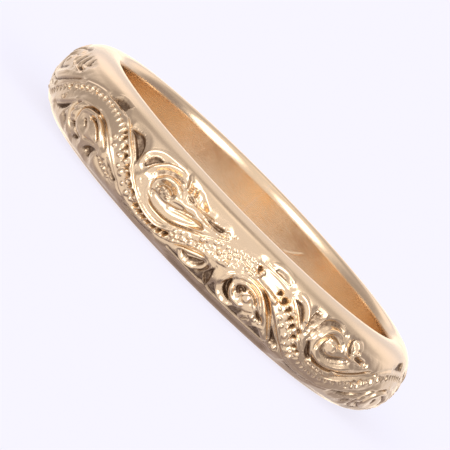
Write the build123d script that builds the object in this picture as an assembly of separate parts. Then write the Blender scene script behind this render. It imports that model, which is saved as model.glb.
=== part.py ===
from build123d import *
import math
import os

# Shank, millimetres: a court section, domed outside and rounded over at the bore
INNER_R = 8.60          # finger bore, 17.2 mm across
OUTER_R = 10.65         # widest point of the dome
CREST_R = 9.00          # middle of the flat worn on each rim
LAND = 0.16             # width of that flat
BAND_WIDTH = 3.80       # along the axis
INNER_ROUND = 0.53      # height of the rounding between the bore and a rim

# Joint in the shank, on the +Y side
SEAM_ANGLE = 90.0
SEAM_THICKNESS = 0.10

# Engraving: scroll cells alternate between the upper and the lower half of the dome
CELLS = 12
CELL_STEP = 360.0 / CELLS
FIRST_EYE = -108.0      # angle of the first upper scroll's eye
POCKET_DEPTH = 0.28
FINE_DEPTH = 0.16
CUTTER_RISE = 0.60      # how far a cutter stands out of the dome

DOME_IN = CREST_R + LAND / 2
DOME_X = OUTER_R - DOME_IN
HALF = BAND_WIDTH / 2

# Pockets, millimetres round their own anchor: x runs round the ring, y towards the rim.
# Each row: degrees from the scroll's eye, degrees of tilt above the dome's middle, depth,
# and the two edges of the pocket, which meet in sharp tips.
POCKETS = [
    (-13.0, 24.0, POCKET_DEPTH,
     [(-0.86, 0.02), (-0.52, 0.32), (-0.05, 0.38), (0.40, 0.10), (0.72, -0.42)],
     [(0.72, -0.42), (0.30, -0.16), (-0.30, -0.02), (-0.86, 0.02)]),
    (-6.4, 26.0, FINE_DEPTH,
     [(-0.10, -0.38), (-0.32, 0.02), (-0.10, 0.28), (0.32, 0.34)],
     [(0.32, 0.34), (0.08, 0.02), (-0.10, -0.38)]),
    (13.0, 29.0, POCKET_DEPTH,
     [(-0.84, 0.02), (0.00, 0.14), (0.86, 0.20)],
     [(0.86, 0.20), (0.62, -0.08), (0.00, -0.14), (-0.84, 0.02)]),
    (-5.4, -12.0, FINE_DEPTH,
     [(0.66, -0.40), (0.10, -0.16), (-0.36, 0.34)],
     [(-0.36, 0.34), (-0.34, -0.12), (0.06, -0.40), (0.66, -0.40)]),
    (27.5, 50.0, FINE_DEPTH,
     [(-0.66, -0.14), (-0.36, 0.14), (0.30, 0.16), (0.64, -0.12)],
     [(0.64, -0.12), (0.00, -0.18), (-0.66, -0.14)]),
]

# The groove that turns round each scroll's eye and runs out along its tail, as for the pockets
EYE_TILT = 8.0
SCROLL_WIDTH = 0.09
SCROLL_TURN = [
    (-0.02, 0.30), (-0.34, 0.22), (-0.50, -0.12), (-0.30, -0.46),
    (0.20, -0.58), (0.75, -0.40), (1.30, -0.10),
]


def section():
    """The band's section, on the XZ plane."""
    crown = EllipticalCenterArc((DOME_IN, HALF), DOME_X, HALF, -90, arc_size=180)
    inner_x = CREST_R - LAND / 2 - INNER_R
    round_at = INNER_R + inner_x
    top = EllipticalCenterArc(
        (round_at, BAND_WIDTH - INNER_ROUND), inner_x, INNER_ROUND, 90, arc_size=90)
    bottom = EllipticalCenterArc((round_at, INNER_ROUND), inner_x, INNER_ROUND, 180, arc_size=90)
    lines = [
        crown,
        Line(crown @ 1, top @ 0),
        top,
        Line(top @ 1, bottom @ 0),
        bottom,
        Line(bottom @ 1, crown @ 0),
    ]
    return Plane.XZ * make_face(lines)


def dome_plane(angle, tilt, flip):
    """A plane touching the dome: x round the ring, y towards the upper rim (the lower one if flipped)."""
    t = math.radians(tilt) * (-1 if flip else 1)
    r, z = DOME_IN + DOME_X * math.cos(t), HALF + HALF * math.sin(t)
    slope = math.atan2(DOME_X * math.sin(t), HALF * math.cos(t))
    a = math.radians(angle)
    normal = (math.cos(slope) * math.cos(a), math.cos(slope) * math.sin(a), math.sin(slope))
    return Plane(
        origin=(r * math.cos(a), r * math.sin(a), z), x_dir=(-math.sin(a), math.cos(a), 0), z_dir=normal)


def mirrored(points, flip):
    """The points, turned over for the lower half of the dome."""
    return [(x, -y if flip else y) for x, y in points]


def pocket_cutter(plane, upper, lower, depth, flip):
    """A pocket's outline as a solid, from above the dome to depth below it."""
    edges = [Spline(*mirrored(points, flip)) for points in (upper, lower)]
    return plane * Pos(0, 0, -depth) * extrude(make_face(edges), depth + CUTTER_RISE, dir=(0, 0, 1))


def scroll_cutter(plane, flip):
    """The groove round a scroll's eye: a channel of constant width along a spiral."""
    channel = trace(Spline(*mirrored(SCROLL_TURN, flip)), SCROLL_WIDTH)
    return plane * Pos(0, 0, -FINE_DEPTH) * extrude(channel, FINE_DEPTH + CUTTER_RISE, dir=(0, 0, 1))


def cell_cutters(index):
    """Every cutter of one scroll cell."""
    flip = index % 2 == 1
    eye = FIRST_EYE + index * CELL_STEP
    cutters = [
        pocket_cutter(dome_plane(eye + turn, tilt, flip), upper, lower, depth, flip)
        for turn, tilt, depth, upper, lower in POCKETS
    ]
    cutters.append(scroll_cutter(dome_plane(eye, EYE_TILT, flip), flip))
    return cutters


def ring():
    """The whole engraved ring, before its joint is opened."""
    cutters = [c for index in range(CELLS) for c in cell_cutters(index)]
    return revolve(section(), Axis.Z) - cutters


def joint_block():
    """A thin block across one side of the ring, where the solder sits."""
    depth = 2 * (OUTER_R - INNER_R)
    block = Box(depth, SEAM_THICKNESS, 2 * BAND_WIDTH)
    return Rot(0, 0, SEAM_ANGLE) * Pos((INNER_R + OUTER_R) / 2, 0, HALF) * block


def main():
    os.makedirs("parts", exist_ok=True)
    whole = ring()
    block = joint_block()
    shank = whole - block
    seam = whole & block
    export_step(shank, "parts/band_shank.step")
    export_step(seam, "parts/solder_seam.step")
    for name, solid in (("band_shank", shank), ("solder_seam", seam)):
        print(name, round(solid.volume, 2), "mm3, solids", len(solid.solids()), "valid", solid.is_valid)


main()
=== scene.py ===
import math

import bpy
import numpy as np
from mathutils import Matrix, Vector


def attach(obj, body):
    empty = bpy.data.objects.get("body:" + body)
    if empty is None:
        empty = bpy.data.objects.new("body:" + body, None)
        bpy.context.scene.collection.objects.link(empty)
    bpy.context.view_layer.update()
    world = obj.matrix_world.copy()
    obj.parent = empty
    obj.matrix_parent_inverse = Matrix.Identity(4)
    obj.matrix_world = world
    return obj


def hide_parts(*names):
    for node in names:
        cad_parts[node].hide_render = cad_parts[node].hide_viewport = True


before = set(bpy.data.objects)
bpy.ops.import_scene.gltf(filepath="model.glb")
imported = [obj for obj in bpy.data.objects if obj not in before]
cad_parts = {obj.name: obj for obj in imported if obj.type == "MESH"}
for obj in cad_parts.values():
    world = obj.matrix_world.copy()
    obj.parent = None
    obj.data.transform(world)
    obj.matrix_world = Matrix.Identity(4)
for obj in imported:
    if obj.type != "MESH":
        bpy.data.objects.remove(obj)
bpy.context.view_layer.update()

# The band, in millimetres, as in the CAD
INNER_R = 8.60
OUTER_R = 10.65
CREST_R = 9.00
LAND = 0.16
WIDTH = 3.80
INNER_ROUND = 0.53
HALF = WIDTH / 2
DOME_IN = CREST_R + LAND / 2
DOME_X = OUTER_R - DOME_IN
SEAM_HALF = 0.05
MM = 0.001

# The engraving's own coordinates: degrees round the ring from the side that faces -Y,
# and millimetres down over the dome from the middle of the upper rim
DEG = math.radians(1.0) * OUTER_R
DOME_TOP, DOME_LOW = 0.08, 5.52
TILE = 120.0        # the pattern repeats after this many degrees
FIRST = -62.0       # where its first tile starts
FINE = 0.03         # between the mesh's rows where the dome is carved
SHOULDER = 0.42     # millimetres over which the metal rounds down towards a cut
ROUNDING = 0.14     # and how far it rounds down
BURR = 0.035        # metal pushed up along a cut
WORN = 0.03         # how much the tops are worn
SUNK = 0.07         # how far the carved belt lies below the polished rims
RUBBED = 0.45       # how much of the depth is rubbed away at the ring's two sides
RUBBED_AT = 82.0    # where those sides are, in degrees round from the front,
RUBBED_TO = 26.0    # how far to each side of there the wear reaches,
RUBBED_FADE = 20.0  # and over how many degrees it fades
WAVE = 0.0006       # the unevenness of hand work
DEEPEST = 0.55      # no cut goes deeper
CLEARANCE = 0.010   # how far the whole dome stays under the CAD's
RUN_OUT = 0.4       # over which the engraving fades out at both rims
FAR = 9.0           # a distance beyond everything
SEAM_TURN = 180.0   # where the solder seam is
SEAM_GAP = 0.002    # between the solder and the band
COLUMNS = 2232
# How full of brown film a cut is, for each millimetre of its depth, and how deep a pocket full of it is; the
# film also paints the cuts' shade
GROOVE_FILM_AND_SHADE, GOUGE_FILM_AND_SHADE, NICK_FILM_AND_SHADE, FULL_POCKET = 8.0, 6.0, 4.0, 0.24
GOUGE_WALL = 0.08


# ---------------------------------------------------------------- relief kit


class Relief:
    """Heights over the dome: a row for each y in millimetres, a column for each step round the ring."""

    def __init__(self, ys):
        self.ys = ys
        self.h = np.zeros((len(ys), COLUMNS))
        self.near = np.full((len(ys), COLUMNS), FAR)   # distance from the nearest cut
        self.film_and_shade = np.zeros((len(ys), COLUMNS))       # brown film left at the bottom of the cuts, which also paints their shade
        self.turn = 0.0     # degrees that the next cuts are moved round the ring
        self.shake = 0.0    # millimetres that the hand wanders
        self.rng = np.random.default_rng(7)

    def place(self, points):
        """Points in degrees and millimetres as millimetres, moved and shaken."""
        p = (np.asarray(points, float) + [self.turn, 0.0]) * [DEG, 1.0]
        return p + self.shake * self.rng.uniform(-1, 1, p.shape)

    def window(self, line, pad):
        """The cells within pad of a line: their indices and their x and y in millimetres."""
        step_mm = 360.0 / COLUMNS * DEG
        first = FIRST * DEG
        c0 = int(np.floor((line[:, 0].min() - pad - first) / step_mm))
        c1 = int(np.ceil((line[:, 0].max() + pad - first) / step_mm)) + 1
        r0, r1 = np.searchsorted(self.ys, [line[:, 1].min() - pad, line[:, 1].max() + pad])
        cols = np.arange(c0, c1)
        cells = np.ix_(np.arange(r0, r1), cols % COLUMNS)
        return cells, (first + cols * step_mm)[None, :], self.ys[r0:r1, None]


def smooth(p, closed=False, per=10):
    """A Catmull-Rom curve through points in millimetres."""
    if closed:
        q = np.vstack([p[-1], p, p[0], p[1]])
    else:
        q = np.vstack([2 * p[0] - p[1], p, 2 * p[-1] - p[-2]])
    out = []
    t = np.linspace(0, 1, per, endpoint=False)[:, None]
    for a, b, c, d in zip(q[:-3], q[1:-2], q[2:-1], q[3:]):
        cubic = (2 * a - 5 * b + 4 * c - d) * t**2 + (3 * b - a - 3 * c + d) * t**3
        out.append(0.5 * (2 * b + (c - a) * t + cubic))
    out = np.vstack(out)
    return out if closed else np.vstack([out, p[-1]])


def along(x, y, line):
    """Distance to a polyline and how far along it (0 to 1) the nearest point is."""
    best = np.full(np.broadcast(x, y).shape, np.inf)
    where = np.zeros_like(best)
    seg = np.hypot(*np.diff(line, axis=0).T)
    total, run = seg.sum(), 0.0
    for (ax, ay), (bx, by), s in zip(line[:-1], line[1:], seg):
        if s < 1e-9:
            continue
        t = np.clip(((x - ax) * (bx - ax) + (y - ay) * (by - ay)) / s**2, 0, 1)
        d = np.hypot(x - ax - t * (bx - ax), y - ay - t * (by - ay))
        near = d < best
        best = np.where(near, d, best)
        where = np.where(near, (run + t * s) / total, where)
        run += s
    return best, where


def inside(x, y, line):
    """Even-odd test against a closed polyline."""
    hit = np.zeros(np.broadcast(x, y).shape, bool)
    for (ax, ay), (bx, by) in zip(line, np.roll(line, -1, axis=0)):
        if ay != by:
            cross = ((ay > y) != (by > y)) & (x < (bx - ax) * (y - ay) / (by - ay) + ax)
            hit ^= cross
    return hit


def step(v):
    """A smooth step from 0 to 1."""
    v = np.clip(v, 0, 1)
    return v * v * (3 - 2 * v)


def mark_near(f, ix, distance):
    """Notes how near a cut is."""
    f.near[ix] = np.minimum(f.near[ix], np.maximum(distance, 0.0))


def mark_film_and_shade(f, ix, amount):
    """Notes how much brown film a cut holds, which also paints its shade."""
    f.film_and_shade[ix] = np.maximum(f.film_and_shade[ix], amount)


def groove(f, points, width, depth, taper=0.25):
    """A graver's cut: V-shaped, fading at both ends, with the metal beside it rolled down a little."""
    line = smooth(f.place(points))
    ix, x, y = f.window(line, SHOULDER)
    d, t = along(x, y, line)
    ends = step(np.minimum(t, 1 - t) / taper + 0.15)
    w = width * (0.35 + 0.65 * ends)
    cut = depth * ends * np.clip(1 - d / w, 0, 1) ** 0.8
    mark_near(f, ix, d - 0.3 * w + 0.6 * SHOULDER * (1 - ends) + SHOULDER * (1 - min(1, depth / 0.12)))
    mark_film_and_shade(f, ix, GROOVE_FILM_AND_SHADE * cut * np.clip(1 - d / (0.9 * w), 0, 1))
    f.h[ix] -= cut


def ridge(f, points, width, height, taper=0.2):
    """A fine raised line."""
    line = smooth(f.place(points))
    ix, x, y = f.window(line, 2.5 * width)
    d, t = along(x, y, line)
    ends = step(np.minimum(t, 1 - t) / taper)
    f.h[ix] += height * ends * np.exp(-((d / width) ** 2))


def pocket(f, outline, depth, wall=0.07, floor=0.0, sharp=False):
    """A sunk pocket with steep walls. floor tips it: positive is deeper towards +x."""
    line = f.place(outline) if sharp else smooth(f.place(outline), closed=True)
    ix, x, y = f.window(line, SHOULDER)
    loop = np.vstack([line, line[0]])
    d, _ = along(x, y, loop)
    into = inside(x, y, line)
    sd = np.where(into, d, -d)
    cx, half = line[:, 0].mean(), np.ptp(line[:, 0]) / 2
    tip = 1 + floor * (x - cx) / half
    cut = depth * tip * (0.22 * step(sd / wall + 0.5) + 0.78 * step((sd - 0.3 * wall) / (1.4 * wall)))
    f.h[ix] = np.minimum(f.h[ix], f.h[ix] * 0.3 - cut)
    mark_near(f, ix, np.where(into, SHOULDER, -sd))
    mark_film_and_shade(f, ix, min(1.0, depth / FULL_POCKET) * step(sd / 0.1 + 0.3))


def gouge(f, points, width, depth, taper=0.25):
    """A wide flat-bottomed cut with steep sides, narrowing towards both ends."""
    line = smooth(f.place(points))
    ix, x, y = f.window(line, SHOULDER)
    d, t = along(x, y, line)
    ends = step(np.minimum(t, 1 - t) / taper + 0.1)
    w = width * (0.3 + 0.7 * ends)
    f.h[ix] -= depth * (0.4 + 0.6 * ends) * step((w - d) / GOUGE_WALL + 0.5)
    mark_near(f, ix, np.where(d > w, d - w, SHOULDER))
    mark_film_and_shade(f, ix, GOUGE_FILM_AND_SHADE * depth * ends * step((w - d) / GOUGE_WALL + 0.3))


def band(f, points, width, height, taper=0.25):
    """A raised rounded band of metal."""
    line = smooth(f.place(points))
    ix, x, y = f.window(line, width)
    d, t = along(x, y, line)
    ends = step(np.minimum(t, 1 - t) / taper)
    w = width * (0.35 + 0.65 * ends)
    f.h[ix] += height * ends * np.sqrt(np.clip(1 - (d / w) ** 2, 0, 1))


def facet(f, outline, across, down, soft=0.1):
    """A slanted face inside an outline, by its slopes round the ring and down the dome. It only lowers."""
    line = smooth(f.place(outline), closed=True)
    ix, x, y = f.window(line, soft)
    d, _ = along(x, y, np.vstack([line, line[0]]))
    within = inside(x, y, line)
    plane = across * (x - line[:, 0].mean()) + down * (y - line[:, 1].mean())
    plane = plane - plane[within].max()
    f.h[ix] += plane * step(np.where(within, d, -d) / soft + 0.5)


def bead(f, x0, y0, r, height, sink=0.0):
    """A round punched bead, standing in a small sunk ring if sink is given."""
    at = f.place([(x0, y0)])
    ix, x, y = f.window(at, 2.2 * r)
    d = np.hypot(x - at[0, 0], y - at[0, 1])
    if sink:
        ring = np.exp(-(((d - 1.15 * r) / (0.45 * r)) ** 2))
        f.h[ix] -= sink * ring
    f.h[ix] += height * np.sqrt(np.clip(1 - (d / r) ** 2, 0, 1))


def nick(f, x0, y0, angle, length, width, depth):
    """A three-cornered graver nick: wide and deep at its head, running out to nothing."""
    at = f.place([(x0, y0)])
    ix, x, y = f.window(at, length)
    c, s = np.cos(np.radians(angle)), np.sin(np.radians(angle))
    u, v = x - at[0, 0], y - at[0, 1]
    a, b = (u * c + v * s) / length + 0.5, (-u * s + v * c) / width
    half = np.clip(1 - a, 0, 1) * 0.5 * step(a / 0.18)
    fall = np.clip(1 - np.abs(b) / np.maximum(half, 1e-6), 0, 1) * (a > 0) * (a < 1)
    mark_film_and_shade(f, ix, NICK_FILM_AND_SHADE * depth * fall)
    f.h[ix] -= depth * fall * np.clip(1.15 - a, 0, 1)


def area(f, outline, depth, soft=0.08, grain=0.0, size=0.09, seed=1, film_and_shade=0.0):
    """Lowered ground with a soft edge, and a pebbly grain if asked for."""
    line = smooth(f.place(outline), closed=True)
    ix, x, y = f.window(line, soft)
    d, _ = along(x, y, np.vstack([line, line[0]]))
    sd = np.where(inside(x, y, line), d, -d)
    m = step(sd / soft + 0.5)
    f.h[ix] -= depth * m
    mark_film_and_shade(f, ix, film_and_shade * m)
    if grain:
        f.h[ix] += grain * m * pebbles(x, y, size, seed)


def pebbles(x, y, size, seed):
    """Small rounded grains, by distance to jittered points."""
    rng = np.random.default_rng(seed)
    jit = rng.uniform(-0.4, 0.4, (64, 64, 2))
    gx, gy = np.floor(x / size).astype(int), np.floor(y / size).astype(int)
    best = np.full(np.broadcast(x, y).shape, FAR)
    for i in (-1, 0, 1):
        for j in (-1, 0, 1):
            q = jit[(gx + i) % 64, (gy + j) % 64]
            dx = (gx + i + 0.5 + q[..., 0]) - x / size
            dy = (gy + j + 0.5 + q[..., 1]) - y / size
            best = np.minimum(best, dx * dx + dy * dy)
    return np.clip(1 - best * 1.6, -0.6, 1)


# ---------------------------------------------------------------- the design
# The ribbon's two edges: degrees round, millimetres down, and how strongly the edge is cut
RIBBON_TOP = [
    (-62, 2.5, 0.3), (-58, 2.05, 0.3), (-52, 1.68, 0.3), (-46, 1.58, 0.7), (-40, 1.60, 0.4),
    (-37, 1.75, 0.9), (-33, 2.18, 1.0), (-29, 2.62, 1.0), (-26, 3.15, 0.8), (-22, 3.60, 1.0),
    (-17, 3.95, 1.0), (-13, 3.95, 0.9), (-10, 3.65, 0.5), (-7, 3.2, 0.3), (-4, 2.84, 0.4), (-1, 2.5, 0.6),
    (2, 2.15, 0.4), (6, 1.85, 0.1), (10, 1.66, 0.1), (15, 1.58, 0.2), (20, 1.6, 0.2), (24, 1.88, 0.5),
    (27, 2.34, 1.0), (30, 2.8, 1.0), (33, 3.2, 0.7), (36, 3.58, 0.6), (39, 3.84, 0.8), (43, 3.9, 0.8),
    (47, 3.78, 0.6), (50, 3.5, 0.7), (53, 3.15, 0.8), (56, 2.78, 0.6),
]
RIBBON_LOW = [
    (-62, 3.7, 0.8), (-58, 3.3, 0.8), (-54, 2.85, 0.3), (-50, 2.6, 0.5), (-46, 2.47, 0.9), (-42, 2.52, 1.0),
    (-38, 2.85, 0.9), (-34, 3.3, 0.9), (-30, 3.8, 0.8), (-26, 4.22, 0.5), (-22, 4.48, 0.8), (-17, 4.6, 0.9),
    (-12, 4.48, 0.9), (-8, 4.12, 0.9), (-5, 3.72, 1.0), (-2, 3.38, 0.9), (2, 3.15, 0.3), (6, 2.95, 0.3),
    (9, 2.68, 0.4), (12, 2.46, 0.4), (15, 2.4, 0.3), (18, 2.48, 0.4), (22, 2.9, 0.6), (26, 3.4, 1.0),
    (30, 3.9, 1.0), (34, 4.28, 0.7), (38, 4.52, 0.8), (43, 4.6, 0.8), (48, 4.5, 0.5), (52, 4.2, 0.3),
    (55, 3.92, 0.4),
]


# What marks fill each stretch of the ribbon, in degrees; the rest has bold nicks and beads
COMBS = ((-51, -37), (36, 56))
ROPE = (-21, -9)
GRAINS = (-9, 12)
PLAIN = (14, 20)
FAINT_UNTIL = -40       # the nicks before this are cut lightly
TRIES = 700             # places tried for a loose grain

# How deep the ribbon's face is sunk, and its edges' cut and raised line: depth or height, and how far
# outside or inside the edge each lies
RIBBON_SINK = 0.08
EDGE_CUT, EDGE_CUT_OUT = 0.10, 0.06
EDGE_LINE, EDGE_LINE_IN = 0.045, 0.05
EDGE_WIDTH = 0.05


def ribbon_edge(points):
    """One edge of the ribbon over a tile, run on past both ends, with the cut's strength along it."""
    before = [(x - TILE, y, k) for x, y, k in points[-3:]]
    after = [(x + TILE, y, k) for x, y, k in points[:3]]
    return smooth(np.asarray(before + points + after, float) * [DEG, 1.0, 1.0])


def ribbon_face(f):
    """The ribbon's sunk face, with a cut outside and a fine raised line inside both its edges."""
    top, low = ribbon_edge(RIBBON_TOP), ribbon_edge(RIBBON_LOW)
    turn = np.arange(COLUMNS) * 360.0 / COLUMNS
    xs = (FIRST + turn % TILE) * DEG
    a, b = np.interp(xs, top[:, 0], top[:, 1]), np.interp(xs, low[:, 0], low[:, 1])
    ka, kb = np.interp(xs, top[:, 0], top[:, 2]), np.interp(xs, low[:, 0], low[:, 2])
    k = np.cos(np.arctan(np.gradient(0.5 * (a + b), 360.0 / COLUMNS * DEG)))
    y = f.ys[:, None]
    from_top, from_low = (y - a) * k, (b - y) * k
    f.h -= RIBBON_SINK * step(from_top / (0.16 + 0.35 * (1 - ka))) * step(from_low / (0.16 + 0.35 * (1 - kb)))
    for d, strength in ((from_top, ka), (from_low, kb)):
        f.h -= EDGE_CUT * strength * np.exp(-(((d + EDGE_CUT_OUT) / EDGE_WIDTH) ** 2))
        f.h += EDGE_LINE * strength * np.exp(-(((d - EDGE_LINE_IN) / EDGE_WIDTH) ** 2))
        out = np.where(d < -EDGE_CUT_OUT, -d - EDGE_CUT_OUT, FAR) + SHOULDER * (1 - strength)
        f.near = np.minimum(f.near, out)


def ribbon_marks(f, rng):
    """The cuts in one tile of the ribbon: combs of teeth, bold nicks with beads, and a rope."""
    top, low = ribbon_edge(RIBBON_TOP), ribbon_edge(RIBBON_LOW)
    th = FIRST
    while th < FIRST + TILE:
        u, u2 = np.interp([th * DEG, (th + 1) * DEG], top[:, 0], top[:, 1])
        v, v2 = np.interp([th * DEG, (th + 1) * DEG], low[:, 0], low[:, 1])
        wide, tilt = v - u, np.degrees(np.arctan2(0.5 * (u2 + v2 - u - v), DEG))
        j = rng.uniform(-1, 1, 8)
        if any(a < th < b for a, b in COMBS):   # a comb of upright teeth
            y0 = u + (0.34 + 0.03 * j[1]) * wide
            nick(f, th, y0, 84 + tilt + 12 * j[0], 0.36, 0.34, 0.15)
            th += 1.8 + 0.2 * j[5]
        elif ROPE[0] < th < ROPE[1]:            # slanted cuts with rounded metal between
            mid = u + 0.6 * wide
            groove(f, [(th + 0.75, mid - 0.2), (th + 0.1, mid), (th - 0.75, mid + 0.2)], 0.1, 0.2, 0.25)
            band(f, [(th + 1.5, mid - 0.17), (th + 0.9, mid), (th + 0.1, mid + 0.19)], 0.08, 0.1)
            th += 1.6 + 0.25 * j[5]
        elif GRAINS[0] <= th < GRAINS[1] or PLAIN[0] < th < PLAIN[1]:
            th += 1.0                           # ribbon_grains fills the first, and the second stays plain
        else:                                   # bold nicks, with beads below
            bold = 1.0 if th > FAINT_UNTIL else 0.6
            y0 = u + (0.36 + 0.06 * j[0]) * wide
            nick(f, th, y0, 75 + tilt + 25 * j[1], 0.42 + 0.06 * j[2], 0.44, 0.3 * bold)
            if bold == 1.0:
                bead(f, th + 0.4 * j[7], u + (0.72 + 0.08 * j[3]) * wide, 0.11 + 0.05 * j[4], 0.14)
                bead(f, th + 1.0, u + (0.55 + 0.12 * j[6]) * wide, 0.07 + 0.03 * j[0], 0.1)
            bead(f, th + 1.05, u + (0.34 + 0.08 * j[6]) * wide, 0.09 + 0.03 * j[7], 0.1 * bold)
            th += 2.0 + 0.35 * j[5]


def ribbon_grains(f, rng):
    """Loose punched grains of every size where one style of marks gives way to the next."""
    top, low = ribbon_edge(RIBBON_TOP), ribbon_edge(RIBBON_LOW)
    put = []
    for _ in range(TRIES):
        th, q, r = rng.uniform(GRAINS[0] - 0.5, GRAINS[1]), rng.uniform(0.14, 0.88), rng.uniform(0.07, 0.16)
        u, v = np.interp(th * DEG, top[:, 0], top[:, 1]), np.interp(th * DEG, low[:, 0], low[:, 1])
        x, y = th * DEG, u + q * (v - u)
        if all(math.hypot(x - a, y - b) > 0.95 * (r + c) for a, b, c in put):
            put.append((x, y, r))
            bead(f, th, y, r, 0.75 * r, 0.015)


def hatch(f, x0, x1, top, low, pitch, lean, depth, rng):
    """Slanted cuts across a strip between two heights, each given at both ends."""
    th = x0
    while th < x1:
        t = (th - x0) / (x1 - x0)
        a, b = top[0] + t * (top[1] - top[0]), low[0] + t * (low[1] - low[0])
        groove(f, [(th + lean / 2, a), (th, (a + b) / 2), (th - lean / 2, b)], 0.05, depth, 0.3)
        th += pitch * rng.uniform(0.85, 1.15)


def scroll_a(f, rng):
    """First lower scroll, its eye at (-47.5, 3.35)."""
    pocket(f, [(-49.0, 1.52), (-47.6, 1.34), (-46.2, 1.14), (-44.8, 1.06), (-41.4, 1.06), (-41.8, 1.28),
               (-41.2, 1.5), (-45, 1.54)], 0.26, sharp=True)
    pocket(f, [(-65.5, 4.12), (-62, 3.83), (-58.8, 3.48), (-56.3, 3.22), (-57.4, 3.55), (-59.2, 3.88),
               (-61.8, 4.1)], 0.26)
    pocket(f, [(-58.3, 4.25), (-57.6, 3.95), (-56.4, 3.9), (-55.9, 4.2), (-56.8, 4.5)], 0.14)
    groove(f, [(-58.9, 4.3), (-58.3, 3.9), (-57, 3.62), (-56.0, 3.4)], 0.06, 0.10)
    groove(f, [(-52.8, 2.78), (-54.4, 3.0), (-55.2, 3.35), (-55.0, 3.75), (-54.0, 4.1), (-52.6, 4.3),
               (-50.8, 4.5)], 0.07, 0.15)
    hatch(f, -55.0, -51.8, (3.35, 2.95), (3.6, 3.2), 0.55, 1.0, 0.05, rng)
    hatch(f, -54.6, -52.0, (3.7, 3.5), (3.95, 3.7), 0.55, 0.8, 0.05, rng)
    groove(f, [(-46.3, 4.08), (-48.3, 4.12), (-50.3, 3.96), (-51.4, 3.65), (-51.6, 3.28), (-50.8, 2.9),
               (-49.2, 2.68), (-47.2, 2.57), (-45, 2.52)], 0.08, 0.17, 0.12)
    groove(f, [(-46.0, 2.66), (-43.5, 2.62), (-41.2, 2.75), (-39, 3.0), (-37, 3.28), (-35.8, 3.45)],
               0.07, 0.15, 0.15)
    ridge(f, [(-40.2, 2.86), (-38.4, 3.12), (-36.6, 3.38)], 0.06, 0.05)
    groove(f, [(-47.3, 3.02), (-46.2, 2.92), (-44.8, 2.88), (-43.4, 2.95), (-41.9, 3.08), (-40.6, 3.28),
               (-39.5, 3.55)], 0.09, 0.2, 0.2)
    pocket(f, [(-48.5, 3.28), (-47.8, 3.14), (-47.0, 3.2), (-46.3, 3.34), (-45.9, 3.52), (-46.8, 3.5),
               (-47.4, 3.42)], 0.26, wall=0.05)
    band(f, [(-50.6, 3.5), (-50.4, 3.1), (-49, 2.86), (-47, 2.74), (-44.6, 2.72), (-42, 2.86), (-39.6, 3.2),
             (-37.4, 3.5)], 0.12, 0.11)
    bead(f, -45.6, 2.98, 0.07, 0.05, 0.08)
    bead(f, -44.7, 2.82, 0.06, 0.03, 0.07)
    ridge(f, [(-50.7, 3.3), (-50.2, 3.68), (-48.8, 3.92), (-46.9, 3.95), (-45.5, 3.75)], 0.06, 0.035)
    groove(f, [(-45.4, 3.75), (-44.2, 3.85), (-42.6, 3.75), (-41, 3.68), (-39.4, 3.66)], 0.05, 0.07)
    ridge(f, [(-41.6, 3.22), (-40.6, 3.42), (-39.6, 3.6)], 0.07, 0.03)
    pocket(f, [(-53.1, 3.9), (-51.6, 3.78), (-50.3, 3.9), (-51.0, 4.03), (-52.6, 4.03)], 0.22, wall=0.05)
    pocket(f, [(-49.6, 4.25), (-48.2, 4.22), (-46.8, 4.2), (-47.6, 4.38), (-49.4, 4.55), (-50.8, 4.6)],
               0.22)
    pocket(f, [(-38.5, 3.78), (-40.4, 3.84), (-42.2, 3.98), (-43.6, 4.22), (-44.7, 4.5), (-43.4, 4.5),
               (-42.4, 4.68), (-41.0, 4.6), (-40.3, 4.3), (-39.4, 3.98)], 0.3)
    bead(f, -35.3, 3.63, 0.19, 0.18)
    pocket(f, [(-34.2, 3.63), (-32.5, 3.75), (-30.6, 3.93), (-28.6, 4.1), (-29.9, 4.28), (-31.8, 4.08),
               (-33.2, 3.85)], 0.24)
    for x, y in ((-36.4, 3.95), (-35.5, 4.08), (-34.6, 4.18), (-33.6, 4.14), (-32.6, 4.26), (-31.7, 4.3)):
        bead(f, x, y, 0.085, 0.07, 0.06)
    groove(f, [(-37.6, 3.8), (-37.2, 4.05), (-36.0, 4.25), (-34.0, 4.4), (-31.5, 4.5)], 0.05, 0.1)
    hatch(f, -36.0, -32.5, (3.82, 3.95), (4.0, 4.12), 0.6, 0.5, 0.06, rng)


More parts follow.
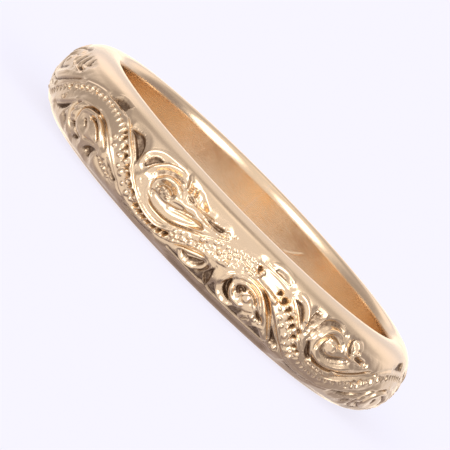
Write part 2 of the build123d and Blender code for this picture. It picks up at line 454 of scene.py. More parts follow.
def scroll_b(f, rng):
    """First upper scroll, its eye at (-17, 2.5)."""
    area(f, [(-26.4, 2.9), (-27.4, 2.2), (-26.8, 1.6), (-24, 1.26), (-18, 1.05), (-13, 1.1), (-10, 1.4),
             (-8, 1.9), (-4, 2.1), (-6, 2.8), (-11, 3.6), (-16, 3.75), (-20.5, 3.4), (-24, 2.95)],
             0.05, soft=0.16)
    pocket(f, [(-36.1, 1.78), (-34.6, 1.56), (-32.3, 1.46), (-30.3, 1.6), (-28.6, 1.9), (-27.6, 2.28),
               (-27.2, 2.72), (-29.0, 2.46), (-31.5, 2.12), (-34, 1.88)], 0.3, floor=0.15)
    pocket(f, [(-26.1, 2.25), (-25.9, 1.9), (-24.9, 1.64), (-23.3, 1.56), (-22.6, 1.64), (-23.7, 2.0),
               (-24.6, 2.45), (-25.5, 2.5)], 0.24, floor=0.3)
    pocket(f, [(-26.4, 2.82), (-25.6, 2.9), (-24.9, 3.14), (-25.7, 3.05)], 0.2, wall=0.04)
    band(f, [(-26.2, 2.75), (-26.8, 2.3), (-26.7, 1.85), (-25.4, 1.5), (-22.6, 1.26), (-19, 1.13),
             (-15.6, 1.1)], 0.13, 0.14)
    band(f, [(-24.2, 2.65), (-23.1, 2.2), (-21.8, 1.76), (-20.0, 1.47), (-17.6, 1.33), (-15.2, 1.36)],
             0.12, 0.14)
    gouge(f, [(-21.9, 2.5), (-21.2, 2.1), (-19.8, 1.76), (-17.9, 1.58), (-16, 1.55), (-14.3, 1.66)],
              0.11, 0.13)
    groove(f, [(-18.2, 3.2), (-19.9, 3.0), (-20.9, 2.7), (-20.9, 2.36), (-20.1, 2.04), (-18.6, 1.8),
               (-16.7, 1.74), (-15.0, 1.8)], 0.06, 0.10, 0.15)
    area(f, [(-19.8, 2.7), (-19.7, 2.4), (-18.4, 2.2), (-16.4, 2.12), (-14.6, 2.22), (-13.9, 2.5),
             (-14.8, 2.8), (-17, 2.88), (-19, 2.86)],
             0.08, soft=0.08, grain=0.03, size=0.2, seed=5, film_and_shade=0.55)
    band(f, [(-19.7, 2.42), (-18.9, 2.1), (-17.2, 1.93), (-15.4, 1.95), (-13.8, 2.1), (-12.4, 2.32)],
             0.15, 0.15)
    facet(f, [(-19.3, 2.12), (-17.4, 1.82), (-15, 1.82), (-13.2, 2.0), (-12.2, 2.3), (-14.8, 2.14),
              (-17, 2.06)], 0.0, 0.2)
    groove(f, [(-18.9, 2.74), (-18.9, 2.5), (-18.0, 2.32), (-16.6, 2.26), (-15.2, 2.34), (-14.8, 2.56)],
               0.05, 0.09, 0.2)
    for x, y, r in ((-17.9, 2.46, .13), (-16.5, 2.5, .18), (-17.3, 2.72, .09), (-15.4, 2.7, .09)):
        bead(f, x, y, r, 0.12)
    facet(f, [(-14.4, 2.72), (-12.6, 2.52), (-10.6, 2.44), (-9.6, 2.5), (-11.4, 2.64), (-13.4, 2.8)],
              0.0, 0.3, 0.06)
    groove(f, [(-14.8, 2.88), (-12.8, 2.8), (-10.8, 2.62), (-8.8, 2.46), (-6.6, 2.34)], 0.055, 0.13, 0.2)
    facet(f, [(-19.3, 2.9), (-16.5, 2.9), (-13.2, 2.86), (-9.4, 2.6), (-6, 2.42), (-4, 2.5), (-7.6, 3.0),
              (-11.6, 3.34), (-15.6, 3.42), (-18.4, 3.22)], 0.0, 0.3, 0.14)
    groove(f, [(-20.4, 3.0), (-19.4, 3.26), (-17.2, 3.48), (-14.6, 3.54), (-11.6, 3.46), (-9, 3.26),
               (-6.6, 3.0), (-4.4, 2.78), (-2.6, 2.66)], 0.07, 0.16, 0.25)
    groove(f, [(-10.2, 1.9), (-8, 1.9), (-5.5, 1.87), (-2.6, 1.76)], 0.055, 0.12, 0.2)
    pocket(f, [(-7.5, 1.92), (-5, 1.88), (-2.6, 1.8), (-0.2, 1.7), (0.6, 1.78), (-0.2, 2.02), (-2, 2.1),
               (-4.6, 2.06)], 0.2, floor=0.35)
    band(f, [(-7.4, 2.2), (-4.4, 2.24), (-1.6, 2.2), (0.6, 2.08)], 0.09, 0.08)
    pocket(f, [(-12.2, 1.78), (-10.9, 1.7), (-9.4, 1.9), (-10.6, 2.04), (-11.6, 2.0)], 0.18, wall=0.07)
    band(f, [(-16.2, 0.98), (-14.9, 1.2), (-13.7, 1.46), (-12.9, 1.72)], 0.1, 0.16)
    band(f, [(-12.6, 1.34), (-12.1, 1.52), (-11.7, 1.7)], 0.11, 0.16)
    facet(f, [(-10.6, 1.26), (-8.9, 1.42), (-6.2, 1.72), (-9.0, 1.8), (-10.2, 1.66)], -0.5, 0.1, 0.06)
    groove(f, [(-14.0, 1.24), (-13.1, 1.5), (-12.5, 1.8)], 0.05, 0.12)
    groove(f, [(-11.5, 1.28), (-11.1, 1.5), (-10.8, 1.72)], 0.05, 0.12)
    for x, y, r in ((0.2, 1.86, .09), (1.2, 1.8, .12), (1.8, 2.0, .09), (0.9, 2.1, .1), (0.1, 2.16, .08)):
        bead(f, x, y, r, 0.1, 0.02)
    nick(f, 2.8, 1.7, 140, 0.26, 0.16, 0.16)
    area(f, [(-24, 3.0), (-22.4, 2.75), (-21.2, 2.95), (-20.0, 3.35), (-17.5, 3.62), (-13.5, 3.68),
             (-10.8, 3.56), (-12, 3.8), (-17, 3.84), (-21, 3.5), (-23.6, 3.2)],
             0.07, grain=0.03, size=0.18, seed=3)
    band(f, [(-24.2, 3.2), (-21, 3.62), (-17.5, 3.9), (-13.6, 4.0), (-10, 3.86)], 0.09, 0.12, 0.3)
    band(f, [(-10.4, 4.16), (-7.6, 3.86), (-4.6, 3.58), (-1.0, 3.34), (3, 3.2)], 0.16, 0.17, 0.3)
    facet(f, [(-9.8, 4.0), (-7.2, 3.72), (-3.8, 3.44), (0, 3.26), (0.6, 3.36), (-3, 3.66), (-6.4, 3.96),
              (-9.2, 4.2)], 0.0, 0.3, 0.06)
    pocket(f, [(-24.5, 4.66), (-22.0, 4.7), (-17.5, 4.82), (-12.5, 4.7), (-15, 4.92), (-19.5, 4.97),
               (-23, 4.86)], 0.2)


def scroll_c(f, rng):
    """Second lower scroll, its eye at (13, 3.2)."""
    facet(f, [(13.6, 1.72), (17, 1.6), (20.4, 1.62), (23.6, 1.88), (22.6, 2.36), (18.4, 2.3), (14.2, 2.24)],
              -0.11, -0.1, 0.14)
    facet(f, [(13.6, 3.5), (15.4, 3.1), (18, 3.5), (18.2, 3.75), (16.6, 3.92), (14.6, 3.86)],
              0.0, 0.2, 0.08)
    # The low ground under this scroll holds nearly full film, which also paints its shade.
    area(f, [(-7.5, 4.42), (-4, 4.32), (-1, 4.38), (2.6, 4.0), (3.6, 3.6), (4.0, 4.15), (6.2, 4.72),
             (6.9, 3.9), (8, 4.1), (10.8, 4.42), (13.6, 4.3), (15.2, 4.05), (17.1, 4.0), (17.4, 4.5),
             (19, 4.66), (21, 4.4), (23, 4.1), (26.5, 4.5), (28, 4.6), (24, 4.72), (18, 4.76), (6, 4.76),
             (-4, 4.64)], 0.12, soft=0.12, film_and_shade=0.95)
    # Painted shade along the front of the lower shoulder: the film here darkens the base colour towards the
    # lower rim, over lowered ground.
    area(f, [(-7, 4.7), (0, 4.62), (8, 4.56), (16, 4.56), (24, 4.6), (31, 4.8), (27, 5.7), (14, 5.8),
             (0, 5.7)], 0.14, soft=0.5, film_and_shade=0.22)
    pocket(f, [(-4.3, 4.0), (-2.2, 3.86), (0.4, 3.58), (1.9, 3.46), (2.2, 3.66), (1.4, 3.95), (-0.3, 4.16),
               (-2.2, 4.2)], 0.2, floor=0.6)
    band(f, [(-4.9, 4.02), (-3.2, 4.25), (-1.4, 4.3), (0.8, 4.16), (2.3, 3.84), (2.8, 3.45)], 0.11, 0.14)
    facet(f, [(-3.9, 3.96), (-2.4, 3.92), (-1.2, 4.1), (-2.2, 4.22)], 0.4, 0.3, 0.05)
    groove(f, [(3.3, 3.35), (3.2, 3.7), (2.6, 4.02), (1.2, 4.3)], 0.06, 0.14)
    pocket(f, [(4.6, 3.25), (5.4, 3.6), (6.3, 4.15), (6.4, 4.78), (5.0, 4.5), (3.5, 4.1), (3.8, 3.7)],
               0.26)
    pocket(f, [(8.9, 3.08), (8.5, 3.42), (9.1, 3.8), (10.6, 4.08), (12.4, 4.18), (13.7, 4.06), (12.4, 3.92),
               (11.0, 3.7), (10.1, 3.42), (9.8, 3.14)], 0.32)
    groove(f, [(7.7, 3.1), (8.9, 2.8), (10.5, 2.58), (12.5, 2.48), (14.6, 2.46), (17, 2.54), (19.5, 2.76),
               (21.5, 3.02), (23.2, 3.27)], 0.05, 0.07, 0.3)
    groove(f, [(16.6, 2.56), (18.6, 2.68), (20.6, 2.92), (22.2, 3.14), (23.8, 3.4)], 0.06, 0.12, 0.3)
    facet(f, [(12.5, 2.5), (15.6, 2.47), (18.6, 2.62), (21.4, 2.98), (24.0, 3.45), (26.6, 3.96),
              (29.0, 4.36), (27.6, 4.52), (24.8, 4.14), (22.4, 3.68), (20.0, 3.26), (17.6, 2.94),
              (15.0, 2.76), (12.5, 2.74)], -0.15, 0.26, 0.1)
    band(f, [(8.0, 3.9), (7.8, 3.45), (8.6, 3.0), (10.4, 2.72), (12.8, 2.6), (15.4, 2.6), (18, 2.8),
             (20, 3.1), (22, 3.46), (24, 3.84), (26.2, 4.2), (28.4, 4.46)], 0.15, 0.15, 0.12)
    groove(f, [(9.9, 3.1), (10.9, 2.86), (12.4, 2.74), (14.8, 2.74), (17.2, 2.88), (19.2, 3.14),
               (21.1, 3.48), (22.8, 3.8), (24.4, 4.06)], 0.05, 0.1, 0.2)
    band(f, [(8.2, 4.0), (9.8, 4.22), (11.6, 4.36), (13.2, 4.28), (14.6, 4.08)], 0.1, 0.14)
    band(f, [(10.6, 3.3), (11.0, 3.05), (12.3, 2.88), (14.6, 2.86), (16.9, 3.0), (18.8, 3.28)], 0.1, 0.12)
    pocket(f, [(11.2, 3.24), (11.6, 3.04), (12.7, 2.94), (13.8, 3.0), (14.0, 3.16), (13.4, 3.3),
               (13.3, 3.46), (12.2, 3.5)], 0.26, wall=0.06)
    bead(f, 12.7, 3.2, 0.1, 0.2)
    groove(f, [(13.6, 3.0), (15.2, 2.98), (16.9, 3.12), (18.6, 3.4)], 0.06, 0.13, 0.2)
    bead(f, 15.1, 3.3, 0.26, 0.12)
    band(f, [(10.2, 3.1), (10.5, 3.4), (11.5, 3.68), (13, 3.84), (14.8, 3.8), (16.4, 3.62)], 0.13, 0.13)
    groove(f, [(15.3, 3.95), (16.8, 3.98), (18.2, 3.84), (19.0, 3.62)], 0.05, 0.08)
    pocket(f, [(18.5, 3.38), (20.4, 3.5), (22.3, 3.7), (21.8, 3.82), (20.3, 3.73)], 0.26, wall=0.05)
    bead(f, 18.7, 4.22, 0.27, 0.2)
    pocket(f, [(18.0, 4.3), (18.6, 4.06), (19.7, 4.02), (19.5, 4.24), (18.7, 4.42)], 0.2, wall=0.06)
    for x, y, r in ((19.6, 3.86, .12), (20.9, 3.9, .09), (22.2, 3.84, .09), (23.4, 3.92, .08),
                    (24.3, 4.05, .07)):
        bead(f, x, y, r, 0.1, 0.01)
    pocket(f, [(23.0, 3.2), (25, 3.48), (27.6, 3.8), (30, 4.05), (30.6, 4.2), (28.6, 4.42), (27.2, 4.1),
               (25.4, 3.75), (24, 3.42)], 0.3)
    bead(f, 30.4, 4.37, 0.13, 0.1, 0.06)
    pocket(f, [(12.4, 1.46), (13.6, 1.36), (15.2, 1.4), (16.4, 1.2), (18.5, 1.14), (20.2, 1.26),
               (21.4, 1.46), (17, 1.48)], 0.13, floor=-0.3)
    band(f, [(12.6, 1.34), (14.6, 1.22), (16.5, 1.06), (19, 1.03), (21, 1.16), (22.8, 1.42)], 0.08, 0.1)
    band(f, [(12.2, 1.6), (15, 1.57), (18.5, 1.58), (22, 1.68)], 0.06, 0.06)


def scroll_d(f, rng):
    """Second upper scroll, its eye at (41, 2.5)."""
    pocket(f, [(24.0, 1.76), (25.3, 1.66), (26.9, 1.66), (28.4, 1.83), (29.6, 2.15), (30.6, 2.55),
               (29.4, 2.45), (27.5, 2.14), (25.6, 1.9)], 0.25)
    pocket(f, [(31.3, 1.52), (30.8, 1.9), (31.2, 2.28), (32.2, 2.66), (32.5, 2.25), (33.2, 1.85),
               (33.9, 1.55), (32.6, 1.45)], 0.2, floor=-0.3)
    band(f, [(23.4, 1.58), (25, 1.46), (27, 1.5), (28.8, 1.74), (30.1, 2.1), (31.1, 2.6)], 0.12, 0.14)
    band(f, [(34.9, 1.4), (33.9, 1.75), (33.1, 2.15), (32.8, 2.6)], 0.08, 0.13)
    pocket(f, [(30.2, 2.74), (31.0, 2.68), (31.9, 2.8), (31.6, 2.93), (30.8, 2.88)], 0.22, wall=0.04)
    gouge(f, [(33.9, 2.8), (34.0, 2.3), (34.9, 1.86), (36.5, 1.52), (38.7, 1.34), (41.0, 1.34),
              (43.0, 1.5)], 0.13, 0.15)
    band(f, [(36.4, 2.95), (36.0, 2.5), (36.6, 2.1), (38.0, 1.8), (40.0, 1.65), (42.0, 1.7), (43.8, 1.95)],
             0.12, 0.15)
    groove(f, [(37.4, 3.0), (37.1, 2.56), (37.8, 2.2), (39.2, 1.98), (41.0, 1.93), (42.8, 2.05),
               (44.4, 2.22)], 0.06, 0.12, 0.15)
    gouge(f, [(39.3, 2.1), (38.8, 2.42), (39.5, 2.74), (41.2, 2.88), (43.4, 2.8), (45.6, 2.6),
              (47.8, 2.38)], 0.1, 0.16)
    bead(f, 41.3, 2.4, 0.23, 0.18)
    bead(f, 40.1, 2.24, 0.08, 0.1)
    pocket(f, [(34.5, 2.8), (34.9, 3.1), (36, 3.38), (37.5, 3.56), (38.8, 3.62), (39.4, 3.42), (37.8, 3.23),
               (36.3, 2.97), (35.5, 2.8)], 0.26)
    groove(f, [(37.4, 3.12), (39.5, 3.37), (42, 3.44), (45, 3.4), (48, 3.22), (51, 2.98), (54, 2.68),
               (57, 2.36), (60, 2.08)], 0.085, 0.17, 0.15)
    for x in (40.3, 42.1, 43.7, 45.3):
        nick(f, x, 3.66, 8, 0.34, 0.2, 0.15)
    ridge(f, [(39.1, 3.72), (41, 3.82), (43.5, 3.84), (46.4, 3.76)], 0.05, 0.03)
    band(f, [(38.2, 3.1), (40.5, 3.2), (43, 3.2), (46, 3.04), (49, 2.76), (52, 2.46)], 0.13, 0.08)
    if f.turn == 2 * TILE:      # this tile's last leaf is three bold cuts, the others' is a cluster of beads
        gouge(f, [(45.4, 1.35), (46.4, 1.62), (47.8, 1.98), (49.6, 2.3)], 0.09, 0.16)
        gouge(f, [(48.4, 1.3), (49.2, 1.58), (50.4, 1.84), (52.0, 2.04)], 0.09, 0.16)
        pocket(f, [(51.4, 1.2), (53.0, 1.5), (54.4, 1.52), (53.4, 1.8), (52.0, 1.6)], 0.2, wall=0.05)
    else:
        pocket(f, [(46.7, 1.32), (45.9, 1.6), (46.4, 1.98), (47.8, 2.16), (48.7, 2.04), (47.7, 1.82),
                   (47.3, 1.5)], 0.26)
        for x, y, r in ((49.6, 1.52, .25), (48.1, 1.44, .12), (50.9, 1.82, .1), (49.3, 1.86, .1)):
            bead(f, x, y, r, 0.7 * r + 0.04, 0.02)
    gouge(f, [(50.0, 2.02), (51.6, 2.06), (53.0, 2.06), (54.6, 2.04)], 0.07, 0.2)
    band(f, [(50.8, 1.9), (52.6, 1.93), (54.6, 1.93)], 0.05, 0.08)
    band(f, [(45.2, 1.6), (45.1, 1.95), (46.4, 2.22), (48.6, 2.26), (51.4, 2.2), (54.2, 2.18)], 0.07, 0.1)
    bead(f, 55.2, 2.05, 0.08, 0.05, 0.06)
    ridge(f, [(48.0, 2.14), (50, 2.18), (52, 2.24), (53.8, 2.26)], 0.05, 0.03)
    area(f, [(47.5, 3.36), (50, 3.2), (54, 2.84), (58, 2.42), (61, 2.12), (61.5, 2.22), (58.5, 2.58),
             (54.5, 3.02), (50.5, 3.42), (48, 3.56)], 0.11, soft=0.06)
    pocket(f, [(36.5, 4.7), (39, 4.74), (42.5, 4.84), (47.5, 4.72), (45, 4.92), (41.5, 4.97), (38, 4.88)],
               0.2)


def hand_waves(f):
    """The unevenness of hand work: low swells, cut with the same direction of travel as the tool."""
    x = (FIRST + np.arange(COLUMNS) * 360.0 / COLUMNS)[None, :] * DEG
    y = f.ys[:, None]
    whole = 2 * math.pi / (360.0 * DEG)      # so that a wave meets itself round the ring
    swells = ((57, 2.3, 0.4, 5), (83, -3.1, 2.0, 4), (131, 5.2, 1.1, 3), (190, -7.3, 4.2, 2))
    waves = sum(height for *_, height in swells)      # so that the waves only lower the metal
    for turns, down, shift, height in swells:
        waves = waves + height * np.sin(turns * whole * x + down * y + shift + np.sin(1.7 * down * y))
    return WAVE * waves * step((y - 1.3) / 0.5) * step((4.9 - y) / 0.3)


def soften(h):
    """Takes the mesh's own steps off the cuts."""
    h = 0.25 * np.roll(h, 1, 1) + 0.5 * h + 0.25 * np.roll(h, -1, 1)
    h[1:-1] = 0.25 * h[:-2] + 0.5 * h[1:-1] + 0.25 * h[2:]
    return h


def engraving(ys):
    """The whole engraved dome, its heights and its film: three tiles of four scrolls, a little different."""
    f = Relief(ys)
    ribbon_face(f)
    for k in range(3):
        f.turn, f.shake = k * TILE, 0.0 if k == 0 else 0.02
        rng = np.random.default_rng(11 + k)
        ribbon_marks(f, rng)
        ribbon_grains(f, rng)
        for scroll in (scroll_a, scroll_b, scroll_c, scroll_d):
            scroll(f, rng)
    y = f.ys[:, None]
    f.h -= ROUNDING * np.clip(1 - f.near / SHOULDER, 0, 1) ** 2 * step((y - 1.1) / 0.4)
    f.h += BURR * np.exp(-(((f.near - 0.06) / 0.045) ** 2))
    f.h -= SUNK * step((y - 0.95) / 0.55) * step((5.45 - y) / 0.4)
    f.h -= hand_waves(f)
    h = 0.5 * (f.h - np.hypot(f.h, WORN))      # tops are worn round, and nothing stands above the rims
    turn = (FIRST + np.arange(COLUMNS) * 360.0 / COLUMNS + 180.0) % 360.0 - 180.0
    from_side = np.abs(np.abs(turn) - RUBBED_AT)
    h *= 1 - RUBBED * step((RUBBED_TO - from_side) / RUBBED_FADE)[None, :]
    return np.clip(soften(soften(h)), -DEEPEST, 0.0), f.film_and_shade


# ---------------------------------------------------------------- the band's mesh
def dome_rows():
    """Row heights of the dome in engraving millimetres: fine where it is carved."""
    fine = FINE * 1
    carved = np.arange(0.90, 5.05, fine)
    return np.concatenate([np.linspace(DOME_TOP, 0.90, 13)[:-1], carved, np.linspace(5.05, DOME_LOW, 9)])


def dome_point(ys):
    """Radius, height and outward normal of the dome at row heights."""
    t = np.linspace(math.pi / 2, -math.pi / 2, 4001)
    r, z = DOME_IN + DOME_X * np.cos(t), HALF + HALF * np.sin(t)
    arc = np.concatenate([[0], np.cumsum(np.hypot(np.diff(r), np.diff(z)))])
    share = (ys - DOME_TOP) / (DOME_LOW - DOME_TOP)
    at = np.interp(share * arc[-1], arc, t)
    n = np.stack([HALF * np.cos(at), DOME_X * np.sin(at)])
    n /= np.linalg.norm(n, axis=0)
    return DOME_IN + DOME_X * np.cos(at), HALF + HALF * np.sin(at), n


def inside_rows():
    """Radius, height and outward normal of the inside, from the lower rim up the bore to the upper rim."""
    width = CREST_R - LAND / 2 - INNER_R
    t = np.linspace(math.pi / 2, 0, 10)
    low_r, low_z = INNER_R + width * (1 - np.cos(t)), INNER_ROUND * (1 - np.sin(t))
    low_n = np.stack([-np.cos(t) * INNER_ROUND, -np.sin(t) * width])
    wall_z = np.linspace(INNER_ROUND, WIDTH - INNER_ROUND, 80)[1:-1]
    wall_r = np.full_like(wall_z, INNER_R)
    wall_n = np.stack([-np.ones_like(wall_z), np.zeros_like(wall_z)])
    r = np.concatenate([low_r, wall_r, low_r[::-1]])
    z = np.concatenate([low_z, wall_z, WIDTH - low_z[::-1]])
    n = np.concatenate([low_n, wall_n, low_n[:, ::-1] * [[1], [-1]]], axis=1)
    return r, z, n / np.linalg.norm(n, axis=0)


SCRATCH_DEPTH, SCRATCH_WIDTH = 0.010, 0.032
BORE_WAVE = 0.004


def bore_marks(z, turn):
    """Wear in the bore, in millimetres outwards: one curved scratch, and a faint hammered waviness."""
    x = (turn[None, :] - SEAM_TURN) * math.radians(1.0) * INNER_R
    zz = z[:, None]
    line = smooth(np.array([(2.55, 1.98), (2.85, 2.12), (3.15, 2.34), (3.45, 2.62)]) * [-1.0, 1.0])
    d, t = along(x, zz, line)
    ends = step(np.minimum(t, 1 - t) / 0.25 + 0.2)
    cut = SCRATCH_DEPTH * ends * np.exp(-((d / SCRATCH_WIDTH) ** 2))
    wave = BORE_WAVE * np.sin(x * 0.9 + 0.6 * np.sin(zz * 2.1)) * np.sin(zz * 1.7 + 0.4)
    return cut + wave


def blurred(h, rows, cols):
    """Box blur over a window of rows by columns, wrapping round the ring."""
    pad = np.concatenate([np.repeat(h[:1], rows, 0), h, np.repeat(h[-1:], rows, 0)])
    total = np.cumsum(pad, axis=0)
    h = (total[2 * rows:] - total[:-2 * rows]) / (2 * rows)
    pad = np.concatenate([h[:, -cols:], h, h[:, :cols]], axis=1)
    total = np.cumsum(pad, axis=1)
    return (total[:, 2 * cols:] - total[:, :-2 * cols]) / (2 * cols)


NEARBY = 10     # rows and columns of the dome


def film_and_painted_shade_of(h, film_and_shade):
    """How much film and painted shade each point gets, 0 to 1: what the cuts were marked with, which also
    paints their shade, and a little painted shade where a point lies lower than the surface round it.
    """
    around = blurred(blurred(h, NEARBY, NEARBY), NEARBY, NEARBY)
    # Painted shade in hollows: how far a point lies below the blurred surface round it.
    painted_shade = np.clip((around - h) / 0.16, 0, 1)
    return np.clip(0.85 * soften(film_and_shade) + 0.3 * painted_shade, 0, 1)


def ring_points():
    """Every point of the band, rows by columns, in millimetres, the turn of each column and the film and
    painted shade.
    """
    ys = dome_rows()
    h, film_and_shade = engraving(ys)
    h = h - CLEARANCE
    h *= step((ys - DOME_TOP) / RUN_OUT)[:, None] * step((DOME_LOW - ys) / RUN_OUT)[:, None]
    turn = FIRST + np.arange(COLUMNS) * 360.0 / COLUMNS
    r, z, n = dome_point(ys)
    r_out, z_out = r[:, None] + h * n[0][:, None], z[:, None] + h * n[1][:, None]
    r2, z2, n2 = inside_rows()
    marks = bore_marks(z2, turn % 360.0)
    r_in, z_in = r2[:, None] + marks * (-n2[0][:, None]), z2[:, None] + 0 * marks
    film_and_painted_shade = np.concatenate([film_and_painted_shade_of(h, film_and_shade), 0 * r_in])
    return np.concatenate([r_out, r_in]), np.concatenate([z_out, z_in]), turn, film_and_painted_shade


def grid_mesh(name, points, film_and_painted_shade):
    """A tube of quads: points[row][column], each column a closed loop, with a cap at both ends."""
    rows, cols = points.shape[:2]
    i, j = np.meshgrid(np.arange(rows), np.arange(cols - 1), indexing="ij")
    nxt = (i + 1) % rows
    quads = np.stack([i * cols + j, nxt * cols + j, nxt * cols + j + 1, i * cols + j + 1], -1).reshape(-1, 4)
    caps = [np.arange(rows)[::-1] * cols, np.arange(rows) * cols + cols - 1]
    loops = np.concatenate([quads.ravel(), caps[0], caps[1]])
    starts = np.concatenate([np.arange(len(quads)) * 4, [len(quads) * 4, len(quads) * 4 + rows]])
    mesh = bpy.data.meshes.new(name)
    mesh.vertices.add(rows * cols)
    mesh.vertices.foreach_set("co", (points * MM).astype(np.float32).ravel())
    mesh.loops.add(len(loops))
    mesh.loops.foreach_set("vertex_index", loops.astype(np.int32))
    mesh.polygons.add(len(starts))
    mesh.polygons.foreach_set("loop_start", starts.astype(np.int32))
    smooth_faces = np.ones(len(starts), bool)
    smooth_faces[-2:] = False
    mesh.polygons.foreach_set("use_smooth", smooth_faces)
    mesh.update(calc_edges=True)
    ends = np.empty(len(mesh.edges) * 2, np.int32)
    mesh.edges.foreach_get("vertices", ends)
    ends = ends.reshape(-1, 2) % cols
    mesh.edges.foreach_set("use_edge_sharp", (ends[:, 0] == ends[:, 1]) & np.isin(ends[:, 0], (0, cols - 1)))
    layer = mesh.attributes.new("film_and_painted_shade", "FLOAT", "POINT")
    layer.data.foreach_set("value", film_and_painted_shade.astype(np.float32).ravel())
    obj = bpy.data.objects.new(name, mesh)
    bpy.context.scene.collection.objects.link(obj)
    return obj


def at_x(r, x):
    """Where a circle of radius r, on the +Y side, crosses a plane of constant x."""
    return np.stack([np.full_like(r, x), np.sqrt(r**2 - x**2)], -1)


def make_band():
    r, z, turn, film_and_painted_shade = ring_points()
    # columns start and end at the solder seam, half a turn from the front
    order = np.argsort((turn - SEAM_TURN) % 360.0)
    order = order[np.abs(turn[order] - SEAM_TURN) * DEG > 1.6 * SEAM_HALF]
    r, z, turn, film_and_painted_shade = r[:, order], z[:, order], turn[order], film_and_painted_shade[:, order]
    a = np.radians(turn - 90.0)
    xyz = np.stack([r * np.cos(a), r * np.sin(a), z], -1)
    ends = []
    for col, x in ((0, -SEAM_HALF), (-1, SEAM_HALF)):
        ends.append(np.concatenate([at_x(r[:, col], x), z[:, col, None]], -1)[:, None])
    film_and_shade = np.concatenate([film_and_painted_shade[:, :1], film_and_painted_shade, film_and_painted_shade[:, -1:]], axis=1)
    band = grid_mesh("engraved_band", np.concatenate([ends[0], xyz, ends[1]], axis=1), film_and_shade)
    edge = SEAM_HALF - SEAM_GAP
    sides = [np.concatenate([at_x(r[:, c], x), z[:, c, None]], -1) for c, x in ((-1, edge), (0, -edge))]
    seam = grid_mesh("solder_wafer", np.stack(sides, axis=1), film_and_painted_shade[:, [-1, 0]])
    return band, seam


# ---------------------------------------------------------------- materials
def node(tree, kind, inputs=(), **settings):
    """A node with its settings and its linked or fixed inputs, given as (socket, value or output)."""
    n = tree.nodes.new(kind)
    for key, value in settings.items():
        setattr(n, key, value)
    for key, value in dict(inputs).items():
        if isinstance(value, bpy.types.NodeSocket):
            tree.links.new(value, n.inputs[key])
        else:
            n.inputs[key].default_value = value
    return n


# Scales are per metre
DRIFT_SCALE, GRIME_AND_SHADE_SCALE, WEAR_SCALE, GRAIN_SCALE = 420.0, 6000.0, 1500.0, 9000.0
HAIRLINES = (900.0, 26000.0, 1.0)       # long round the ring, fine across it
POLISHED, FILM_ROUGH = 0.19, 0.5
BUMP_HEIGHT = 0.000008


def gold_material(name, light, warm, dark, base_rough):
    """Worn polished gold: tone drifts slowly, cuts hold a brown film that also paints their shade, hollows
    get painted shade, and the surface has fine hairlines.
    """
    mat = bpy.data.materials.new(name)
    mat.use_nodes = True
    t = mat.node_tree
    shader = t.nodes["Principled BSDF"]
    shader.inputs["Metallic"].default_value = 1.0
    where = node(t, "ShaderNodeTexCoord").outputs["Object"]
    xyz = node(t, "ShaderNodeSeparateXYZ", {0: where})
    turn = node(t, "ShaderNodeMath", {0: xyz.outputs["Y"], 1: xyz.outputs["X"]}, operation="ARCTAN2")
    around = node(t, "ShaderNodeMath", {0: turn.outputs[0], 1: INNER_R * MM}, operation="MULTIPLY")
    flat = node(t, "ShaderNodeCombineXYZ", {0: around.outputs[0], 1: xyz.outputs["Z"]})
    film_and_painted_shade = node(t, "ShaderNodeAttribute", attribute_name="film_and_painted_shade")
    drift = node(t, "ShaderNodeTexNoise", {"Vector": where, "Scale": DRIFT_SCALE, "Detail": 3.0})
    tone = node(t, "ShaderNodeMix", {"Factor": drift.outputs["Fac"], "A": light, "B": warm}, data_type="RGBA")
    grime_and_shade = node(t, "ShaderNodeTexNoise", {"Vector": where, "Scale": GRIME_AND_SHADE_SCALE, "Detail": 4.0,
                                           "Roughness": 0.6})
    amount = node(t, "ShaderNodeMath", {0: film_and_painted_shade.outputs["Fac"], 1: grime_and_shade.outputs["Fac"]},
                  operation="MULTIPLY")
    amount = node(t, "ShaderNodeMapRange", {"Value": amount.outputs[0], "From Min": 0.05, "From Max": 0.52})
    # Painted shade and film: the mask darkens the base colour towards the dark brown in cuts and hollows.
    base = node(t, "ShaderNodeMix", {"Factor": amount.outputs[0], "A": tone.outputs["Result"], "B": dark},
                data_type="RGBA")
    t.links.new(base.outputs["Result"], shader.inputs["Base Color"])
    rough = node(t, "ShaderNodeMapRange", {"Value": amount.outputs[0], "To Min": base_rough,
                                           "To Max": FILM_ROUGH})
    wear = node(t, "ShaderNodeTexNoise", {"Vector": where, "Scale": WEAR_SCALE, "Detail": 5.0,
                                          "Roughness": 0.7})
    rub = node(t, "ShaderNodeMapRange", {"Value": wear.outputs["Fac"], "From Min": 0.35, "From Max": 0.75,
                                         "To Min": -0.03, "To Max": 0.06})
    rough = node(t, "ShaderNodeMath", {0: rough.outputs[0], 1: rub.outputs[0]}, operation="ADD")
    t.links.new(rough.outputs[0], shader.inputs["Roughness"])
    hair = node(t, "ShaderNodeVectorMath", {0: flat.outputs[0], 1: HAIRLINES}, operation="MULTIPLY")
    lines = node(t, "ShaderNodeTexNoise", {"Vector": hair.outputs[0], "Scale": 1.0, "Detail": 3.0})
    grain = node(t, "ShaderNodeTexNoise", {"Vector": where, "Scale": GRAIN_SCALE, "Detail": 4.0,
                                           "Roughness": 0.65})
    both = node(t, "ShaderNodeMath", {0: lines.outputs["Fac"], 1: 0.6, 2: grain.outputs["Fac"]},
                operation="MULTIPLY_ADD")
    bump = node(t, "ShaderNodeBump", {"Strength": 0.35, "Distance": BUMP_HEIGHT, "Height": both.outputs[0]})
    t.links.new(bump.outputs["Normal"], shader.inputs["Normal"])
    return mat


# ---------------------------------------------------------------- the stage
# The camera: degrees it looks down by and is rolled by, millimetres it stands off, millimetres its aim is
# moved to the right and up, and its lens
CAMERA_DOWN, CAMERA_ROLL = 6.47, 45.63
CAMERA_AWAY = 220.2
AIM_RIGHT, AIM_UP = -0.166, 0.080
LENS = 391.4

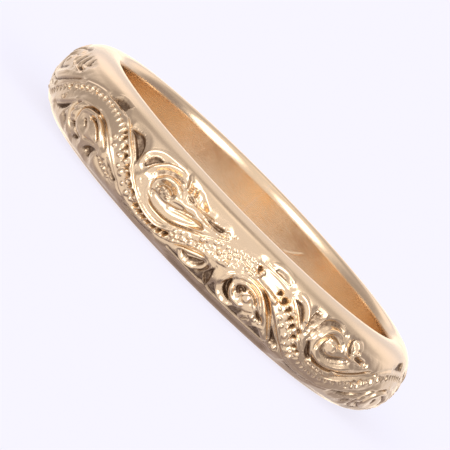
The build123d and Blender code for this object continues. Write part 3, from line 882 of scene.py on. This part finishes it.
PAPER = (0.896, 0.879, 1.0)
TABLE_BASE, TABLE_GLOW = (0.18, 0.18, 0.18), 0.84
TABLE_HALF = 3.0        # metres
TABLE_DROP = 0.00002    # metres, so that the table doesn't touch the rim
STUDIO = (0.87, 0.85, 0.91)
# Soft patches: degrees round from the front, degrees up, inner and outer radius, colour
SURROUNDINGS = [
    (95, 5, 14, 46, (0.36, 0.34, 0.38)),
    (-97, 5, 14, 46, (0.43, 0.41, 0.45)),
    (112, 50, 6, 26, (0.55, 0.53, 0.57)),
    (-112, 50, 6, 26, (0.50, 0.48, 0.52)),
    (115, -45, 8, 36, (0.34, 0.31, 0.36)),
    (-120, -50, 8, 34, (0.50, 0.47, 0.53)),
    (30, -84, 14, 42, (0.27, 0.24, 0.28)),
    (180, -56, 8, 34, (0.40, 0.37, 0.44)),
    (-15, -38, 6, 26, (1.0, 0.98, 1.02)),
    (146, 26, 5, 20, (1.12, 1.08, 1.14)),
    (-148, 28, 5, 20, (1.20, 1.15, 1.22)),
    (0, 84, 4, 14, (1.15, 1.12, 1.15)),
    (180, 75, 4, 12, (0.44, 0.41, 0.44)),
    (149, 69, 3, 11, (0.5, 0.47, 0.5)),
    (-149, 69, 3, 11, (0.5, 0.47, 0.5)),
    (180, -7, 9, 24, (1.55, 1.42, 1.22)),
    (164, -27, 5, 14, (0.56, 0.53, 0.58)),
    (48, 24, 11, 24, (4.0, 4.0, 4.2)),
    (-30, 27, 10, 23, (3.7, 3.7, 3.9)),
]


def make_floor():
    """A pale light table. The gold reflects the studio round it, not the table's own glow."""
    s = TABLE_HALF
    mesh = bpy.data.meshes.new("studio_floor")
    mesh.from_pydata([(-s, -s, 0), (s, -s, 0), (s, s, 0), (-s, s, 0)], [], [(0, 1, 2, 3)])
    floor = bpy.data.objects.new("studio_floor", mesh)
    floor.location.z = -TABLE_DROP
    floor.visible_glossy = False
    mat = bpy.data.materials.new("pale_floor")
    mat.use_nodes = True
    shader = mat.node_tree.nodes["Principled BSDF"].inputs
    shader["Base Color"].default_value = (*TABLE_BASE, 1.0)
    shader["Roughness"].default_value = 1.0
    shader["Specular IOR Level"].default_value = 0.0
    shader["Emission Color"].default_value = (*PAPER, 1.0)
    shader["Emission Strength"].default_value = TABLE_GLOW
    mesh.materials.append(mat)
    bpy.context.scene.collection.objects.link(floor)


def soft_light(t, colour, vector, azimuth, elevation, inner, outer, shade):
    """Mixes a soft round patch of light or shade into the studio's surroundings."""
    a, e = math.radians(azimuth), math.radians(elevation)
    aim = (math.sin(a) * math.cos(e), -math.cos(a) * math.cos(e), math.sin(e))
    dot = node(t, "ShaderNodeVectorMath", {0: vector, 1: aim}, operation="DOT_PRODUCT")
    edge = node(t, "ShaderNodeMapRange", {"Value": dot.outputs["Value"],
                                          "From Min": math.cos(math.radians(outer)),
                                          "From Max": math.cos(math.radians(inner))},
                interpolation_type="SMOOTHSTEP")
    return node(t, "ShaderNodeMix", {"Factor": edge.outputs[0], "A": colour, "B": (*shade, 1.0)},
                data_type="RGBA").outputs["Result"]


def make_studio():
    """Surroundings whose colour depends on direction only."""
    world = bpy.data.worlds.new("studio")
    bpy.context.scene.world = world
    world.use_nodes = True
    t = world.node_tree
    vector = node(t, "ShaderNodeTexCoord").outputs["Generated"]
    colour = (*STUDIO, 1.0)
    for patch in SURROUNDINGS:
        colour = soft_light(t, colour, vector, *patch)
    t.links.new(colour, t.nodes["Background"].inputs["Color"])


def make_camera():
    """Looks down at the ring by 6.5 degrees, turned so that its axis leans to the upper right."""
    e, roll = math.radians(CAMERA_DOWN), math.radians(CAMERA_ROLL)
    right, up = Vector((1, 0, 0)), Vector((0, math.sin(e), math.cos(e)))
    back = Vector((0, -math.cos(e), math.sin(e)))
    x = right * math.cos(roll) + up * math.sin(roll)
    y = up * math.cos(roll) - right * math.sin(roll)
    aim = Vector((0, 0, HALF)) + x * AIM_RIGHT + y * AIM_UP
    cam = bpy.data.cameras.new("camera")
    cam.lens, cam.sensor_width = LENS, 36.0
    cam.clip_start = 0.005
    obj = bpy.data.objects.new("camera", cam)
    place = Matrix((x, y, back)).transposed().to_4x4()
    place.translation = (aim + back * CAMERA_AWAY) * MM
    obj.matrix_world = place
    bpy.context.scene.collection.objects.link(obj)
    bpy.context.scene.camera = obj


make_camera()
make_floor()
make_studio()
bpy.context.scene.view_settings.view_transform = "Standard"

band, seam = make_band()
# The third colour of each is the brown film in the cuts, which also paints their shade and the shade of
# hollows.
gold = gold_material(
    "worn_gold", (0.91, 0.69, 0.46, 1.0), (0.89, 0.66, 0.41, 1.0), (0.23, 0.15, 0.092, 1.0), POLISHED)
solder = gold_material(
    "gold_solder", (0.91, 0.70, 0.48, 1.0), (0.88, 0.66, 0.43, 1.0), (0.24, 0.155, 0.096, 1.0), POLISHED)
for piece, stands_for, finish, surface in (
    (band, "band_shank", "gold", gold),
    (seam, "solder_seam", "solder", solder),
):
    piece.data.materials.append(surface)
    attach(piece, "root")
    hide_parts(stands_for)
